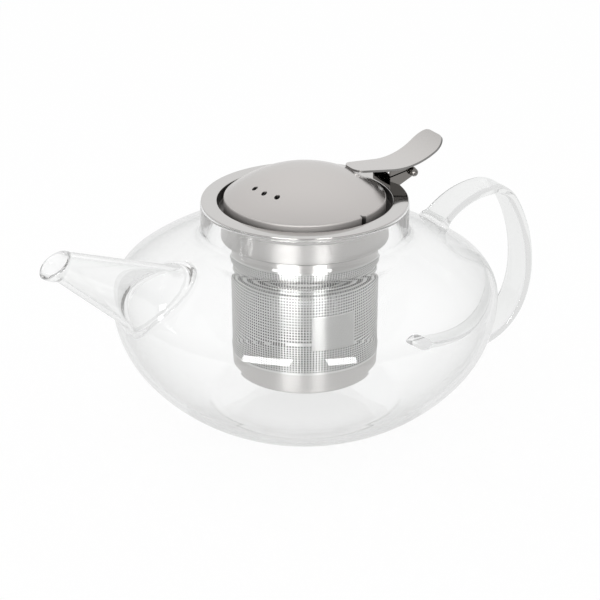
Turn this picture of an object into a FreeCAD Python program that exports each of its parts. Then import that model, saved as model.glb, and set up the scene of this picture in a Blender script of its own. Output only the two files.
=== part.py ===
"""Glass teapot with a lift-out steel infuser and a hinged lid, in millimetres.

Frame: +Z up, origin at the centre of the flat base, spout towards -X, handle and
hinge towards +X, the lid's hinge pin along Y.
"""
import FreeCAD, Part
import math
import os

import Sketcher
from FreeCAD import Placement, Rotation, Vector

# Driving dimensions, in millimetres and degrees
DRIVING_SIZES = {
    # blown bowl: a neck, then tangent arcs over the shoulder, round the equator and down to the base
    "bowl_radius": 76.0,
    "equator_height": 49.0,
    "base_radius": 38.0,
    "base_slope": 23.0,
    "belly_turn": 38.0,
    "shoulder_height": 72.1,
    "shoulder_slope": 14.5,
    "shoulder_turn": 21.0,
    "bowl_wall": 2.2,
    "floor_thickness": 3.0,
    "neck_radius": 40.5,
    "neck_fillet": 5.0,
    "rim_height": 87.2,
    "rim_round": 0.9,
    # spout, measured along its own axis from where that axis meets the bowl
    "spout_root_x": 68.2,
    "spout_root_height": 61.2,
    "spout_rise_angle": 31.4,
    "spout_length": 42.5,
    "spout_root_radius": 13.8,
    "spout_tip_radius": 5.9,
    "spout_lip_flare": 0.9,
    "spout_lip_length": 4.0,
    "spout_wall": 1.6,
    "spout_tip_slant": 21.5,
    # strap handle, bent in the plane of the spout
    "strap_width": 14.6,
    "strap_thickness": 3.6,
    "strap_crest_x": 85.1,
    "strap_crest_height": 76.6,
    "strap_shoulder_radius": 32.6,
    "strap_shoulder_slope": 43.3,
    "strap_crest_turn": 58.5,
    "strap_reach": 105.3,
    "strap_waist_height": 38.0,
    "strap_waist_turn": 19.0,
    "strap_low_x": 78.5,
    "strap_low_height": 7.6,
    "strap_curl_radius": 61.5,
    "strap_curl_turn": 23.0,
    "strap_root_depth": 7.0,
    # pressed infuser ring and the collar under it
    "ring_radius": 40.2,
    "ring_gauge": 0.8,
    "ring_mouth_radius": 34.0,
    "ring_step_depth": 4.4,
    "ring_ledge_radius": 30.6,
    "ring_edge_round": 0.35,
    "collar_radius": 33.7,
    "collar_gauge": 0.6,
    "collar_lip_bottom": 63.6,
    "collar_lip_length": 3.7,
    "collar_round_height": 6.3,
    # strainer
    "strainer_radius": 28.8,
    "strainer_gauge": 0.5,
    "lip_overlap_clearance": 0.1,
    "strainer_shoulder_height": 57.8,
    "groove_height": 60.3,
    "groove_radius": 26.9,
    "cup_top_height": 24.5,
    "cup_bottom_height": 17.0,
    "cup_corner_radius": 1.6,
    # lid
    "lid_radius": 31.4,
    "lid_skirt_height": 5.3,
    "lid_dome_rise": 11.4,
    "lid_gauge": 0.7,
    "lid_edge_round": 1.6,
    "lid_seat_gap": 0.3,
    "vent_circle_radius": 21.2,
    "vent_bearing": 13.6,
    "vent_spacing": 17.0,
    "vent_radius": 1.1,
    "nick_offset": 9.3,
    "nick_width": 4.6,
    "nick_depth": 1.4,
    # thumb lever
    "lever_gauge": 0.9,
    "lever_front_x": 20.0,
    "lever_front_width": 10.6,
    "lever_tip_width": 17.4,
    "lever_dip_x": 38.6,
    "lever_seat_depth": 0.1,
    "lever_bend_radius": 29.0,
    "lever_front_slope": 6.5,
    "lever_tip_slope": 48.0,
    "lever_corner_radius": 5.2,
    # hinge
    "pin_x": 45.2,
    "pin_radius": 1.1,
    "pin_ball_radius": 1.65,
    "pin_running_clearance": 0.05,
    "barrel_radius": 2.0,
    "barrel_leaf_height": 0.45,
    "barrel_length": 10.4,
    "barrel_side_clearance": 0.3,
    "ear_gauge": 0.9,
    "ear_boss_radius": 1.9,
    "ear_flank": 1.33,
    "ear_front_height": 4.4,
    "bracket_front_x": 35.0,
    "bracket_rear_x": 39.6,
    "bracket_gauge": 0.8,
}

doc = FreeCAD.newDocument("teapot")
sheet = doc.addObject("Spreadsheet::Sheet", "sizes")


class Size:
    """A length or angle that carries its number and the sheet expression behind it."""

    def __init__(self, value, text):
        self.value = value
        self.text = text

    @staticmethod
    def of(other):
        return other if isinstance(other, Size) else Size(float(other), repr(float(other)))

    def __add__(self, other):
        other = Size.of(other)
        return Size(self.value + other.value, "(%s + %s)" % (self.text, other.text))

    def __sub__(self, other):
        other = Size.of(other)
        return Size(self.value - other.value, "(%s - %s)" % (self.text, other.text))

    def __mul__(self, other):
        other = Size.of(other)
        return Size(self.value * other.value, "(%s * %s)" % (self.text, other.text))

    def __truediv__(self, other):
        other = Size.of(other)
        return Size(self.value / other.value, "(%s / %s)" % (self.text, other.text))

    def __neg__(self):
        return Size(-self.value, "(0 - %s)" % self.text)

    def sin(self):
        return Size(math.sin(math.radians(self.value)), "sin(%s)" % self.text)

    def cos(self):
        return Size(math.cos(math.radians(self.value)), "cos(%s)" % self.text)

    def root(self):
        return Size(math.sqrt(self.value), "sqrt(%s)" % self.text)


def fill_sheet():
    """Write every driving dimension into the sheet and hand them back by name."""
    named = {}
    for row, (name, value) in enumerate(DRIVING_SIZES.items(), start=1):
        sheet.set("A%d" % row, name)
        sheet.set("B%d" % row, str(value))
        sheet.setAlias("B%d" % row, name)
        named[name] = Size(value, "%s.%s" % (sheet.Name, name))
    doc.recompute()
    return named


S = fill_sheet()


def origin_plane(body, role):
    return [feature for feature in body.Origin.OriginFeatures if feature.Role == role][0]


def new_body(label):
    body = doc.addObject("PartDesign::Body", label)
    body.Label = label
    return body


def new_sketch(body, name, role):
    sketch = body.newObject("Sketcher::SketchObject", name)
    sketch.AttachmentSupport = [(origin_plane(body, role), "")]
    sketch.MapMode = "FlatFace"
    return sketch


def bind_distance(sketch, kind, geometry, point, size):
    """Tie one coordinate of a sketch point to its sheet expression."""
    index = sketch.addConstraint(Sketcher.Constraint(kind, -1, 1, geometry, point, size.value))
    sketch.setExpression("Constraints[%d]" % index, size.text)


def arc_through(start, end, radius):
    """Arc of the given radius from start to end; a negative radius bows to the right."""
    chord = end - start
    half = chord.Length / 2
    bow = abs(radius) - math.sqrt(max(radius * radius - half * half, 0.0))
    normal = Vector(-chord.y, chord.x, 0).normalize()
    middle = (start + end) / 2 + normal * math.copysign(bow, radius)
    return Part.Arc(start, middle, end)


def draw_outline(sketch, corners):
    """Closed outline with every corner bound to the sheet.

    A corner is (x, y) with a straight side after it, or (x, y, radius) where the
    next side is an arc of that radius.
    """
    corners = [tuple(Size.of(item) for item in corner) for corner in corners]
    first = sketch.GeometryCount
    points = [Vector(corner[0].value, corner[1].value, 0) for corner in corners]
    following = points[1:] + points[:1]
    for corner, start, end in zip(corners, points, following):
        bent = len(corner) == 3
        sketch.addGeometry(arc_through(start, end, corner[2].value) if bent else Part.LineSegment(start, end))
    ends = []
    for corner in corners:
        runs_forward = len(corner) == 2 or corner[2].value < 0
        ends.append((1, 2) if runs_forward else (2, 1))
    for number in range(len(corners)):
        follower = (number + 1) % len(corners)
        sketch.addConstraint(
            Sketcher.Constraint("Coincident", first + number, ends[number][1], first + follower, ends[follower][0]))
    for number, corner in enumerate(corners):
        bind_distance(sketch, "DistanceX", first + number, ends[number][0], corner[0])
        bind_distance(sketch, "DistanceY", first + number, ends[number][0], corner[1])
        if len(corner) == 3:
            radius = corner[2] if corner[2].value > 0 else -corner[2]
            index = sketch.addConstraint(Sketcher.Constraint("Radius", first + number, radius.value))
            sketch.setExpression("Constraints[%d]" % index, radius.text)


def draw_circle(sketch, x, y, radius):
    """Circle bound to the sheet by its centre and radius."""
    x, y, radius = Size.of(x), Size.of(y), Size.of(radius)
    number = sketch.addGeometry(Part.Circle(Vector(x.value, y.value, 0), Vector(0, 0, 1), radius.value))
    bind_distance(sketch, "DistanceX", number, 3, x)
    bind_distance(sketch, "DistanceY", number, 3, y)
    index = sketch.addConstraint(Sketcher.Constraint("Radius", number, radius.value))
    sketch.setExpression("Constraints[%d]" % index, radius.text)


def revolve(body, name, corners):
    """Turn an outline in the body's XZ plane about its Z axis."""
    sketch = new_sketch(body, name + "_outline", "XZ_Plane")
    draw_outline(sketch, corners)
    turned = body.newObject("PartDesign::Revolution", name)
    turned.Profile = sketch
    turned.ReferenceAxis = (sketch, ["V_Axis"])
    turned.Angle = 360
    doc.recompute()
    return turned


def pad_across(body, name, corners, width):
    """Extrude an outline in the XZ plane by a width centred on it."""
    sketch = new_sketch(body, name + "_outline", "XZ_Plane")
    draw_outline(sketch, corners)
    pad = body.newObject("PartDesign::Pad", name)
    pad.Profile = sketch
    pad.Midplane = True
    pad.setExpression("Length", width.text)
    doc.recompute()
    return pad


def cut_through(body, name, role, draw):
    """Cut what draw puts in a sketch right through the body, and prove that it removed something."""
    before = body.Shape.Volume
    sketch = new_sketch(body, name + "_outline", role)
    draw(sketch)
    pocket = body.newObject("PartDesign::Pocket", name)
    pocket.Profile = sketch
    pocket.Type = "ThroughAll"
    pocket.Midplane = True
    doc.recompute()
    if body.Shape.Volume >= before:
        raise RuntimeError("%s removed nothing" % name)
    return pocket


def cut_pair(label, base, tool):
    """A sub-part made by taking one object out of another."""
    result = doc.addObject("Part::Cut", label)
    result.Label = label
    result.Base = base
    result.Tool = tool
    doc.recompute()
    return result


def solid_feature(label, shape):
    """A sub-part or helper form whose shape is worked out from the sheet."""
    feature = doc.addObject("Part::Feature", label)
    feature.Label = label
    feature.Shape = shape
    return feature


def turned(point, radius, start, end):
    """End of an arc from a point that turns clockwise from one heading to another."""
    return point[0] + radius * (start.sin() - end.sin()), point[1] + radius * (end.cos() - start.cos())


def tangent_pair(start, end, heading, turn, last):
    """Radii of two tangent clockwise arcs between two points, the first through turn degrees."""
    nowhere = (Size.of(0), Size.of(0))
    middle = heading - turn
    first = turned(nowhere, Size.of(1), heading, middle)
    second = turned(nowhere, Size.of(1), middle, last)
    span = end[0] - start[0], end[1] - start[1]
    spread = first[0] * second[1] - first[1] * second[0]
    return (span[0] * second[1] - span[1] * second[0]) / spread, (first[0] * span[1] - first[1] * span[0]) / spread


def inset(point, heading, depth):
    """Point moved squarely to the right of the way it heads."""
    return point[0] + heading.sin() * depth, point[1] - heading.cos() * depth


class BowlOutline:
    """Meridian of the bowl's outer face, walked from the neck down to the base."""

    def __init__(self):
        slope = S["shoulder_slope"]
        fillet = S["neck_fillet"]
        down = Size.of(-90)
        self.headings = [-slope, -slope - S["shoulder_turn"], down, down - S["belly_turn"],
                         Size.of(-180) + S["base_slope"]]
        shoulder = S["neck_radius"] + fillet * (Size.of(1) - slope.sin()), S["shoulder_height"]
        equator = S["bowl_radius"], S["equator_height"]
        base = S["base_radius"], Size.of(0)
        upper = tangent_pair(shoulder, equator, self.headings[0], S["shoulder_turn"], down)
        lower = tangent_pair(equator, base, down, S["belly_turn"], self.headings[4])
        self.radii = [upper[0], upper[1], lower[0], lower[1]]
        crown = turned(shoulder, upper[0], self.headings[0], self.headings[1])
        belly = turned(equator, lower[0], down, self.headings[3])
        self.points = [shoulder, crown, equator, belly, base]
        self.neck_foot = S["neck_radius"], S["shoulder_height"] + fillet * slope.cos()

    def outer(self):
        """Corners of the outer face, from the foot of the neck to the base."""
        bends = [point + (radius,) for point, radius in zip(self.points, self.radii)]
        return [self.neck_foot + (-S["neck_fillet"],)] + bends + [self.points[-1]]

    def inner(self, wall):
        """Corners of the inner face, from the floor back up to the foot of the neck."""
        inside = [inset(point, heading, wall) for point, heading in zip(self.points, self.headings)]
        bends = [radius - wall for radius in self.radii]
        centre = inset(self.points[3], self.headings[3], self.radii[3])
        rise = S["floor_thickness"] - centre[1]
        floor_x = centre[0] + (bends[3] * bends[3] - rise * rise).root()
        return [
            (floor_x, S["floor_thickness"], -bends[3]),
            inside[3] + (-bends[2],),
            inside[2] + (-bends[1],),
            inside[1] + (-bends[0],),
            inside[0] + (S["neck_fillet"] + wall,),
            (self.neck_foot[0] - wall, self.neck_foot[1]),
        ]


def build_bowl():
    """Outer form of the blown bowl, and its shell with a rounded rim."""
    outline = BowlOutline()
    wall, rim, rounding = S["bowl_wall"], S["rim_height"], S["rim_round"]
    outside = S["neck_radius"]
    inside = outside - wall
    form = new_body("bowl_outer_form")
    revolve(form, "bowl_form_turned", [(0, rim), (outside, rim)] + outline.outer() + [(0, 0)])
    shell = new_body("bowl_shell")
    rounded_rim = [
        (inside, rim - rounding, rounding),
        (inside + rounding, rim),
        (outside - rounding, rim, rounding),
        (outside, rim - rounding),
    ]
    floor = [(0, 0), (0, S["floor_thickness"])]
    revolve(shell, "bowl_blown", rounded_rim + outline.outer() + floor + outline.inner(wall))
    return form, shell


def spout_placement():
    """Local Z of the spout lies along its axis, which leans from the bowl towards -X and up."""
    lean = 90.0 - S["spout_rise_angle"].value
    base = Vector(-S["spout_root_x"].value, 0, S["spout_root_height"].value)
    return Placement(base, Rotation(Vector(0, 1, 0), -lean))


def spout_outline(inward, root_end, tip_end):
    """Radial outline of the spout, drawn in by a wall, from inside the bowl to past the tip."""
    root = S["spout_root_radius"] - inward
    tip = S["spout_tip_radius"] - inward
    lip_start = S["spout_length"] - S["spout_lip_length"]
    taper = (root - tip) / lip_start
    return [
        (0, root_end),
        (root - taper * root_end, root_end),
        (tip, lip_start),
        (tip + S["spout_lip_flare"], S["spout_length"]),
        (tip + S["spout_lip_flare"], tip_end),
        (0, tip_end),
    ]


def build_spout(bowl_outer):
    """Tapered spout shell with a slanted tip, seated on the bowl's outer face, and the bore through it."""
    past_tip = S["spout_length"] + S["spout_tip_radius"]
    inside_bowl = -S["spout_root_radius"]
    placement = spout_placement()
    shell = new_body("spout_shell")
    revolve(shell, "spout_turned", spout_outline(Size.of(0), inside_bowl, past_tip))
    slant = S["spout_tip_slant"].sin() / S["spout_tip_slant"].cos()
    reach = S["spout_root_radius"] * 2.0

    def beyond_tip(sketch):
        top = past_tip + S["spout_root_radius"]
        draw_outline(sketch, [
            (-reach, S["spout_length"] + reach * slant),
            (reach, S["spout_length"] - reach * slant),
            (reach, top + reach),
            (-reach, top + reach),
        ])

    cut_through(shell, "spout_tip_cut", "XZ_Plane", beyond_tip)
    shell.Placement = placement
    bore = new_body("spout_bore")
    revolve(bore, "spout_bore_turned", spout_outline(S["spout_wall"], inside_bowl, past_tip))
    bore.Placement = placement
    tube = cut_pair("spout_tube", shell, bore)
    spout = cut_pair("spout", tube, bowl_outer)
    return spout, bore


def strap_path():
    """Centre line of the strap: tangent arcs from the shoulder over the crest and back under the bowl."""
    crest = S["strap_crest_x"], S["strap_crest_height"]
    waist = S["strap_reach"], S["strap_waist_height"]
    low = S["strap_low_x"], S["strap_low_height"]
    level, down, back = Size.of(0), Size.of(-90), Size.of(-180)
    rise = S["strap_shoulder_slope"]
    over_the_top = level - S["strap_crest_turn"]
    under_the_waist = down - S["strap_waist_turn"]
    curled = back - S["strap_curl_turn"]
    over = tangent_pair(crest, waist, level, S["strap_crest_turn"], down)
    under = tangent_pair(waist, low, down, S["strap_waist_turn"], back)
    legs = [
        (S["strap_shoulder_radius"], rise, level),
        (over[0], level, over_the_top),
        (over[1], over_the_top, down),
        (under[0], down, under_the_waist),
        (under[1], under_the_waist, back),
        (S["strap_curl_radius"], back, curled),
    ]

    def vector(point):
        return Vector(point[0].value, 0, point[1].value)

    def ahead(heading):
        return Vector(heading.cos().value, 0, heading.sin().value)

    depth = S["strap_root_depth"].value
    point = turned(crest, -S["strap_shoulder_radius"], rise, level)
    begin = vector(point) - ahead(rise) * depth
    edges = [Part.makeLine(begin, vector(point))]
    for radius, start, end in legs:
        middle = turned(point, radius, start, (start + end) / 2.0)
        finish = turned(point, radius, start, end)
        edges.append(Part.Arc(vector(point), vector(middle), vector(finish)).toShape())
        point = finish
    edges.append(Part.makeLine(vector(point), vector(point) + ahead(curled) * depth))
    return Part.Wire(edges), begin, ahead(rise)


def build_handle(bowl_outer):
    """Flat glass strap with round edges, swept along its path and seated on the bowl."""
    path, begin, heading = strap_path()
    half_thickness = S["strap_thickness"].value / 2
    half_flat = S["strap_width"].value / 2 - half_thickness
    across = Vector(0, 1, 0)
    outward = heading.cross(across)

    def at(side, out):
        return begin + across * side + outward * out

    section = Part.Wire([
        Part.makeLine(at(-half_flat, half_thickness), at(half_flat, half_thickness)),
        Part.Arc(at(half_flat, half_thickness), at(half_flat + half_thickness, 0),
                 at(half_flat, -half_thickness)).toShape(),
        Part.makeLine(at(half_flat, -half_thickness), at(-half_flat, -half_thickness)),
        Part.Arc(at(-half_flat, -half_thickness), at(-half_flat - half_thickness, 0),
                 at(-half_flat, half_thickness)).toShape(),
    ])
    spine = solid_feature("strap_path", path)
    profile = solid_feature("strap_section", section)
    strap = doc.addObject("Part::Sweep", "strap")
    strap.Sections = [profile]
    strap.Spine = (spine, ["Edge%d" % number for number in range(1, len(path.Edges) + 1)])
    strap.Solid = True
    strap.Frenet = False
    doc.recompute()
    return cut_pair("handle", strap, bowl_outer)


RING_TOP = S["rim_height"] + S["ring_gauge"]
LEDGE_TOP = RING_TOP - S["ring_step_depth"]
LEDGE_UNDER = LEDGE_TOP - S["ring_gauge"]


def build_ring():
    """Pressed ring: a flat flange on the glass rim, stepped down to a ledge for the lid."""
    body = new_body("infuser_ring")
    edge = S["ring_edge_round"]
    step_outside = S["ring_mouth_radius"] + S["ring_gauge"]
    revolve(body, "ring_pressed", [
        (S["ring_ledge_radius"], LEDGE_UNDER),
        (step_outside, LEDGE_UNDER),
        (step_outside, S["rim_height"]),
        (S["ring_radius"], S["rim_height"]),
        (S["ring_radius"], RING_TOP - edge, -edge),
        (S["ring_radius"] - edge, RING_TOP),
        (S["ring_mouth_radius"] + edge, RING_TOP, -edge),
        (S["ring_mouth_radius"], RING_TOP - edge),
        (S["ring_mouth_radius"], LEDGE_TOP),
        (S["ring_ledge_radius"], LEDGE_TOP),
    ])
    return body


COLLAR_LIP_TOP = S["collar_lip_bottom"] + S["collar_lip_length"]


def build_collar():
    """Drawn collar: a straight sleeve that rounds in to the lip over the strainer."""
    body = new_body("infuser_collar")
    gauge = S["collar_gauge"]
    lip = S["strainer_radius"] + S["strainer_gauge"] / 2
    inner_lip = lip - gauge
    outer = S["collar_radius"]
    inner = outer - gauge
    rise = S["collar_round_height"]
    shoulder = COLLAR_LIP_TOP + rise
    step_in = outer - lip
    bend = (step_in * step_in + rise * rise) / (step_in * 2.0)
    revolve(body, "collar_drawn", [
        (lip, S["collar_lip_bottom"]),
        (lip, COLLAR_LIP_TOP, -bend),
        (outer, shoulder),
        (outer, LEDGE_UNDER),
        (inner, LEDGE_UNDER),
        (inner, shoulder, bend - gauge / 2.0),
        (inner_lip, COLLAR_LIP_TOP + gauge / 2.0),
        (inner_lip, S["collar_lip_bottom"]),
    ])
    return body


def build_strainer():
    """Rolled strainer tube, grooved under the collar, its neck inside the collar's lip."""
    body = new_body("strainer_tube")
    gauge = S["strainer_gauge"]
    outer = S["strainer_radius"]
    neck = outer + gauge / 2.0 - S["collar_gauge"] - S["lip_overlap_clearance"]
    groove = S["groove_radius"]
    neck_bottom = S["collar_lip_bottom"] - gauge
    neck_top = COLLAR_LIP_TOP - gauge
    revolve(body, "strainer_rolled", [
        (outer - gauge, S["cup_top_height"]),
        (outer, S["cup_top_height"]),
        (outer, S["strainer_shoulder_height"]),
        (groove, S["groove_height"]),
        (neck, neck_bottom),
        (neck, neck_top),
        (neck - gauge, neck_top),
        (neck - gauge, neck_bottom),
        (groove - gauge, S["groove_height"]),
        (outer - gauge, S["strainer_shoulder_height"]),
    ])
    return body


def build_cup():
    """Plain cup that closes the strainer, butt joined under its tube."""
    body = new_body("strainer_cup")
    gauge = S["strainer_gauge"]
    outer = S["strainer_radius"]
    corner = S["cup_corner_radius"]
    inner_corner = corner - gauge
    bottom = S["cup_bottom_height"]
    revolve(body, "cup_drawn", [
        (0, bottom),
        (outer - corner, bottom, -corner),
        (outer, bottom + corner),
        (outer, S["cup_top_height"]),
        (outer - gauge, S["cup_top_height"]),
        (outer - gauge, bottom + corner, inner_corner),
        (outer - corner, bottom + gauge),
        (0, bottom + gauge),
    ])
    return body


SKIRT_BOTTOM = LEDGE_TOP + S["lid_seat_gap"]
SKIRT_TOP = SKIRT_BOTTOM + S["lid_skirt_height"]
DOME_RADIUS = (S["lid_radius"] * S["lid_radius"] / S["lid_dome_rise"] + S["lid_dome_rise"]) / 2.0
DOME_CENTRE = SKIRT_TOP + S["lid_dome_rise"] - DOME_RADIUS


def build_lid():
    """Domed lid rounded over into its skirt, with an arc of vents towards the spout and a nick in its rim."""
    body = new_body("lid")
    gauge = S["lid_gauge"]
    rim = S["lid_radius"]
    apex = DOME_CENTRE + DOME_RADIUS
    edge = S["lid_edge_round"]
    edge_centre = rim - edge
    edge_reach = DOME_RADIUS - edge
    edge_rise = (edge_reach * edge_reach - edge_centre * edge_centre).root()
    stretch = DOME_RADIUS / edge_reach
    inner_rim = rim - gauge
    inner_dome = DOME_RADIUS - gauge
    inner_top = DOME_CENTRE + (inner_dome * inner_dome - inner_rim * inner_rim).root()
    revolve(body, "lid_pressed", [
        (rim, SKIRT_BOTTOM),
        (rim, DOME_CENTRE + edge_rise, -edge),
        (edge_centre * stretch, DOME_CENTRE + edge_rise * stretch, -DOME_RADIUS),
        (0, apex),
        (0, apex - gauge, inner_dome),
        (inner_rim, inner_top),
        (inner_rim, SKIRT_BOTTOM),
    ])

    def vents(sketch):
        for place in (-1.0, 0.0, 1.0):
            turn = S["vent_bearing"] + S["vent_spacing"] * place
            along, across = S["vent_circle_radius"] * turn.cos(), S["vent_circle_radius"] * turn.sin()
            draw_circle(sketch, -along, -across, S["vent_radius"])

    def nick(sketch):
        near = S["nick_offset"] - S["nick_width"] / 2.0
        far = S["nick_offset"] + S["nick_width"] / 2.0
        draw_outline(sketch, [
            (near, -rim - gauge),
            (far, -rim - gauge),
            (far, -rim + S["nick_depth"]),
            (near, -rim + S["nick_depth"]),
        ])

    cut_through(body, "lid_vents", "XY_Plane", vents)
    cut_through(body, "lid_nick", "XY_Plane", nick)
    return body


class LeverBend:
    """Underside of the lever: a straight front let into the dome, then one arc up to the tip."""

    def __init__(self):
        self.radius = S["lever_bend_radius"]
        front = S["lever_front_slope"]
        self.slope = front.sin() / front.cos()
        front_x = S["lever_front_x"]
        on_dome = DOME_CENTRE + (DOME_RADIUS * DOME_RADIUS - front_x * front_x).root()
        bend_start = S["lever_dip_x"] - self.radius * front.sin()
        fall = (bend_start - front_x) * self.slope
        self.centre_z = on_dome - S["lever_seat_depth"] - fall + self.radius * front.cos()

    def under(self, x):
        """Height of the bent part's underside."""
        past_dip = x - S["lever_dip_x"]
        return self.centre_z - (self.radius * self.radius - past_dip * past_dip).root()


LEVER = LeverBend()
PIN_HEIGHT = LEVER.under(S["pin_x"]) - S["barrel_leaf_height"] - S["barrel_radius"]


def build_lever(lid):
    """Thumb lever: a strip bent up at the back, wider towards its rounded tip."""
    strip = new_body("lever_strip")
    gauge = S["lever_gauge"]
    under = LEVER.radius
    over = under - gauge
    slope = LEVER.slope
    front, tip = S["lever_front_slope"], S["lever_tip_slope"]

    def on_bend(radius, angle, side):
        return S["lever_dip_x"] + radius * angle.sin() * side, LEVER.centre_z - radius * angle.cos()

    under_start, over_start = on_bend(under, front, -1.0), on_bend(over, front, -1.0)
    under_tip, over_tip = on_bend(under, tip, 1.0), on_bend(over, tip, 1.0)
    front_x = S["lever_front_x"]
    pad_across(strip, "lever_bent", [
        (front_x, under_start[1] + (under_start[0] - front_x) * slope),
        (under_start[0], under_start[1], -under),
        under_tip,
        (over_tip[0], over_tip[1], over),
        over_start,
        (front_x, over_start[1] + (over_start[0] - front_x) * slope),
    ], S["lever_tip_width"])

    def sides(sketch):
        ahead, behind = front_x - gauge, under_tip[0] + gauge
        corner = S["lever_corner_radius"]
        half_front, half_tip = S["lever_front_width"] / 2.0, S["lever_tip_width"] / 2.0
        for side in (-1.0, 1.0):
            draw_outline(sketch, [
                (ahead, half_front * side),
                (under_tip[0] - corner, half_tip * side, corner * side),
                (under_tip[0], (half_tip - corner) * side),
                (behind, (half_tip - corner) * side),
                (behind, S["lever_tip_width"] * side),
                (ahead, S["lever_tip_width"] * side),
            ])

    cut_through(strip, "lever_taper", "XY_Plane", sides)
    return cut_pair("thumb_lever", strip, lid)


def build_barrel(lever):
    """Rolled barrel on the pin, with a short leaf up to the lever's underside."""
    roll = new_body("barrel_roll")
    bore = S["pin_radius"] + S["pin_running_clearance"]
    leaf_half = S["barrel_radius"] / 2.0
    leaf_top = LEVER.under(S["pin_x"]) + S["lever_gauge"] / 2.0
    pad_across(roll, "barrel_leaf", [
        (S["pin_x"] - leaf_half, PIN_HEIGHT),
        (S["pin_x"] + leaf_half, PIN_HEIGHT),
        (S["pin_x"] + leaf_half, leaf_top),
        (S["pin_x"] - leaf_half, leaf_top),
    ], S["barrel_length"])
    round_sketch = new_sketch(roll, "barrel_round_outline", "XZ_Plane")
    draw_circle(round_sketch, S["pin_x"], PIN_HEIGHT, S["barrel_radius"])
    rounded = roll.newObject("PartDesign::Pad", "barrel_round")
    rounded.Profile = round_sketch
    rounded.Midplane = True
    rounded.setExpression("Length", S["barrel_length"].text)
    doc.recompute()
    cut_through(roll, "barrel_bore", "XZ_Plane",
                lambda sketch: draw_circle(sketch, S["pin_x"], PIN_HEIGHT, bore))
    return cut_pair("hinge_barrel", roll, lever)


EAR_INSIDE = S["barrel_length"] + S["barrel_side_clearance"] * 2.0
EAR_OUTSIDE = EAR_INSIDE + S["ear_gauge"] * 2.0


def build_bracket():
    """Folded bracket on the ring's flange: a foot plate and two ears that hold the pin."""
    body = new_body("hinge_bracket")
    boss, flank = S["ear_boss_radius"], S["ear_flank"]
    foot_top = RING_TOP + S["bracket_gauge"]
    pad_across(body, "bracket_blank", [
        (S["bracket_front_x"], RING_TOP),
        (S["bracket_rear_x"], RING_TOP),
        (S["pin_x"] + flank, PIN_HEIGHT - flank),
        (S["pin_x"] - flank, PIN_HEIGHT + flank),
        (S["bracket_front_x"], RING_TOP + S["ear_front_height"]),
    ], EAR_OUTSIDE)
    boss_sketch = new_sketch(body, "bracket_boss_outline", "XZ_Plane")
    draw_circle(boss_sketch, S["pin_x"], PIN_HEIGHT, boss)
    rounded = body.newObject("PartDesign::Pad", "bracket_boss")
    rounded.Profile = boss_sketch
    rounded.Midplane = True
    rounded.setExpression("Length", EAR_OUTSIDE.text)
    doc.recompute()
    before = body.Shape.Volume
    channel = new_sketch(body, "bracket_channel_outline", "XZ_Plane")
    past_boss = boss * 2.0
    draw_outline(channel, [
        (S["bracket_front_x"] - boss, foot_top),
        (S["bracket_rear_x"] + S["bracket_gauge"] * 2.0, foot_top),
        (S["pin_x"] + past_boss, PIN_HEIGHT - past_boss),
        (S["pin_x"] + past_boss, PIN_HEIGHT + past_boss),
        (S["bracket_front_x"] - boss, PIN_HEIGHT + past_boss),
    ])
    hollow = body.newObject("PartDesign::Pocket", "bracket_channel")
    hollow.Profile = channel
    hollow.Midplane = True
    hollow.setExpression("Length", EAR_INSIDE.text)
    doc.recompute()
    if body.Shape.Volume >= before:
        raise RuntimeError("the bracket has no channel")
    cut_through(body, "bracket_pin_holes", "XZ_Plane",
                lambda sketch: draw_circle(sketch, S["pin_x"], PIN_HEIGHT, S["pin_radius"]))
    return body


def build_pin():
    """Hinge pin with a ball formed on each end, just outside the ears."""
    body = new_body("hinge_pin")
    radius, ball = S["pin_radius"], S["pin_ball_radius"]
    neck = (ball * ball - radius * radius).root()
    ear_face = EAR_OUTSIDE / 2.0
    revolve(body, "pin_turned", [
        (0, -(ear_face + neck + ball), -ball),
        (radius, -ear_face),
        (radius, ear_face, -ball),
        (0, ear_face + neck + ball),
    ])
    body.Placement = Placement(Vector(S["pin_x"].value, 0, PIN_HEIGHT.value), Rotation(Vector(1, 0, 0), -90))
    return body


def build_teapot():
    """All sub-parts, in the order in which they go together."""
    bowl_outer, bowl_shell = build_bowl()
    spout, bore = build_spout(bowl_outer)
    pot_body = cut_pair("pot_body", bowl_shell, bore)
    handle = build_handle(bowl_outer)
    lid = build_lid()
    lever = build_lever(lid)
    return [
        pot_body, spout, handle,
        build_ring(), build_collar(), build_strainer(), build_cup(), build_bracket(), build_pin(),
        lid, lever, build_barrel(lever),
    ]


def check_and_write(nodes):
    """Refuse a failed object, then write one file per sub-part."""
    doc.recompute()
    failed = [item.Label for item in doc.Objects if "Invalid" in item.State or "Error" in item.State]
    if failed:
        raise RuntimeError("failed objects: %s" % ", ".join(failed))
    for node in nodes:
        if node.Shape.isNull() or not node.Shape.isValid() or not node.Shape.Solids:
            raise RuntimeError("bad shape: %s" % node.Label)
    os.makedirs("parts", exist_ok=True)
    for node in nodes:
        node.Shape.exportStep(os.path.join("parts", node.Label + ".step"))
        box = node.Shape.BoundBox
        print("%-16s solids %d volume %9.1f  x %7.2f %7.2f  y %7.2f %7.2f  z %7.2f %7.2f" % (
            node.Label, len(node.Shape.Solids), node.Shape.Volume,
            box.XMin, box.XMax, box.YMin, box.YMax, box.ZMin, box.ZMax))


check_and_write(build_teapot())
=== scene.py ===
"""Looks of a glass infuser teapot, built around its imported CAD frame.

The frame is in metres, +Z up, spout towards -X, handle and lid hinge towards +X.
Sizes in the classes below are in millimetres and become metres when a mesh is made.
"""
from __future__ import annotations

import logging
import math
from dataclasses import dataclass, field
from enum import Enum

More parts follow.
